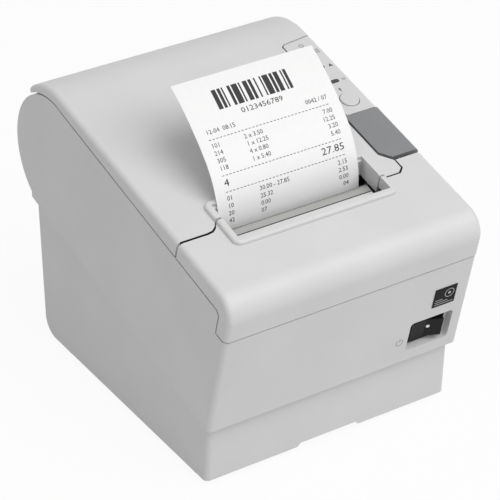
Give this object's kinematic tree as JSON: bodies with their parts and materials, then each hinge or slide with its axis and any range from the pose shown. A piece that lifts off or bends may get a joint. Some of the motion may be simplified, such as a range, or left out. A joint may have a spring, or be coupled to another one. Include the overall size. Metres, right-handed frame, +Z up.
{
  "type": "receipt printer",
  "caption": "Light grey desktop thermal receipt printer with a sloped top, hinged roll cover, sliding cutter cover, open lever, control strip and a printed strip of paper rising from its slot.",
  "frame": {"origin": "on the floor under the middle of the printer's bounding box", "axes": "+X to the right seen from the front, -Y out of the front, +Z up"},
  "size_m": [0.145, 0.1956, 0.1729],
  "materials": {
    "case_plastic": "satin moulded light grey",
    "panel_plastic": "satin moulded light grey",
    "lever_plastic": "satin moulded mid grey",
    "lens": "smoked",
    "black_plastic": "satin black",
    "plate_black": "plain matt black",
    "foot_rubber": "matt grey",
    "screw_steel": "zinc plated",
    "plate_steel": "bright zinc plated",
    "contact_brass": "tinned",
    "board_green": "solder mask",
    "chip_black": "moulded",
    "inner_plastic": "textured dark grey",
    "shaft_steel": "ground",
    "roll_paper": null,
    "core_board": null,
    "web_paper": null,
    "receipt_paper": null,
    "gear_plastic": "natural acetal",
    "pinion_brass": "hobbed",
    "motor_can": "plated can",
    "platen_rubber": "ground",
    "blade_steel": "ground",
    "head_ceramic": "glazed ceramic, filed under gloss plastic",
    "sink_aluminium": "extruded",
    "tear_steel": "brushed"
  },
  "bodies": {
    "printer": {"upper_case": "case_plastic", "lower_case": "case_plastic", "control_panel": "panel_plastic", "indicator_lenses": "lens", "switch_body": "black_plastic", "front_plate": "plate_black", "rubber_feet": "foot_rubber", "case_screws": "screw_steel", "connector_plate": "plate_steel", "usb_socket": "plate_steel", "drawer_jack": "black_plastic", "power_inlet": "black_plastic", "inlet_pins": "contact_brass", "main_board": "board_green", "board_chips": "chip_black", "panel_board": "board_green", "feed_switch": "black_plastic", "roll_bucket": "inner_plastic", "hinge_pins": "shaft_steel", "paper_end_sensor": "black_plastic", "paper_web": "web_paper", "side_plate_left": "plate_steel", "side_plate_right": "plate_steel", "cross_plate": "plate_steel", "idler_pin": "shaft_steel", "feed_motor": "motor_can", "print_head": "head_ceramic", "head_sink": "sink_aluminium", "head_springs": "shaft_steel", "cutter_frame": "black_plastic", "cutter_motor": "motor_can", "tear_bar": "tear_steel", "lever_bracket": "inner_plastic", "lever_pin": "shaft_steel"},
    "roll_cover": {"roll_cover": "case_plastic", "platen_holder": "inner_plastic", "platen_bushes": "gear_plastic", "fixed_blade": "blade_steel", "receipt": "receipt_paper"},
    "platen": {"platen_roller": "platen_rubber", "platen_shaft": "shaft_steel", "platen_gear": "gear_plastic"},
    "cutter_cover": {"cutter_cover": "case_plastic"},
    "lever": {"open_lever": "lever_plastic"},
    "lock": {"lock_bar": "plate_steel"},
    "button": {"feed_button": "panel_plastic"},
    "rocker": {"power_rocker": "black_plastic"},
    "idler": {"idler_gear": "gear_plastic"},
    "rotor": {"motor_pinion": "pinion_brass", "motor_axle": "shaft_steel"},
    "roll": {"paper_roll": "roll_paper", "roll_core": "core_board"},
    "blade": {"moving_blade": "blade_steel"},
    "cutter_wheel": {"cutter_wheel": "gear_plastic"}
  },
  "joints": [
    {"name": "roll_cover_hinge", "type": "hinge", "parent": "printer", "child": "roll_cover", "pos_m": [0, 0.06349, 0.11096], "axis": [-1, 0, 0], "range_deg": [0, 80]},
    {"name": "platen_spin", "type": "hinge", "parent": "roll_cover", "child": "platen", "pos_m": [-0.002, -0.03343, 0.1049], "axis": [1, 0, 0], "continuous": true},
    {"name": "idler_spin", "type": "hinge", "parent": "printer", "child": "idler", "pos_m": [-0.0506, -0.03957, 0.08482], "axis": [1, 0, 0], "continuous": true},
    {"name": "motor_spin", "type": "hinge", "parent": "printer", "child": "rotor", "pos_m": [-0.048, -0.05262, 0.07425], "axis": [1, 0, 0], "continuous": true},
    {"name": "roll_spin", "type": "hinge", "parent": "printer", "child": "roll", "pos_m": [-0.002, 0.036, 0.0865], "axis": [1, 0, 0], "continuous": true},
    {"name": "cutter_cover_slide", "type": "slide", "parent": "printer", "child": "cutter_cover", "axis": [0, -0.9744, -0.225], "range_m": [0, 0.022]},
    {"name": "lever_press", "type": "hinge", "parent": "printer", "child": "lever", "pos_m": [0, -0.01443, 0.1253], "axis": [1, 0, 0], "range_deg": [0, 6], "stiffness_Nm_per_rad": 1},
    {"name": "lock_turn", "type": "hinge", "parent": "printer", "child": "lock", "pos_m": [0, -0.04185, 0.09023], "axis": [1, 0, 0], "range_deg": [0, 19.8]},
    {"name": "feed_button_press", "type": "slide", "parent": "printer", "child": "button", "axis": [0, 0.225, -0.9744], "range_m": [0, 0.0008], "stiffness_N_per_m": 500},
    {"name": "power_rocker_turn", "type": "hinge", "parent": "printer", "child": "rocker", "pos_m": [0.0524, -0.07884, 0.05131], "axis": [0, -0.225, 0.9744], "range_deg": [0, 16]},
    {"name": "cutter_wheel_turn", "type": "hinge", "parent": "printer", "child": "cutter_wheel", "pos_m": [0.0222, -0.07512, 0.10544], "axis": [0, 0.225, -0.9744], "range_deg": [0, 109.14]},
    {"name": "blade_slide", "type": "slide", "parent": "printer", "child": "blade", "axis": [0, 0.9744, 0.225], "range_m": [0, 0.008]}
  ],
  "couplings": [
    {"joint": "idler_spin", "follows": "platen_spin", "ratio": -0.66667},
    {"joint": "motor_spin", "follows": "platen_spin", "ratio": 2},
    {"joint": "roll_spin", "follows": "platen_spin", "ratio": 0.17568},
    {"joint": "lock_turn", "follows": "lever_press", "ratio": 3.3},
    {"joint": "cutter_wheel_turn", "follows": "blade_slide", "rad_per_m": 238.1}
  ]
}
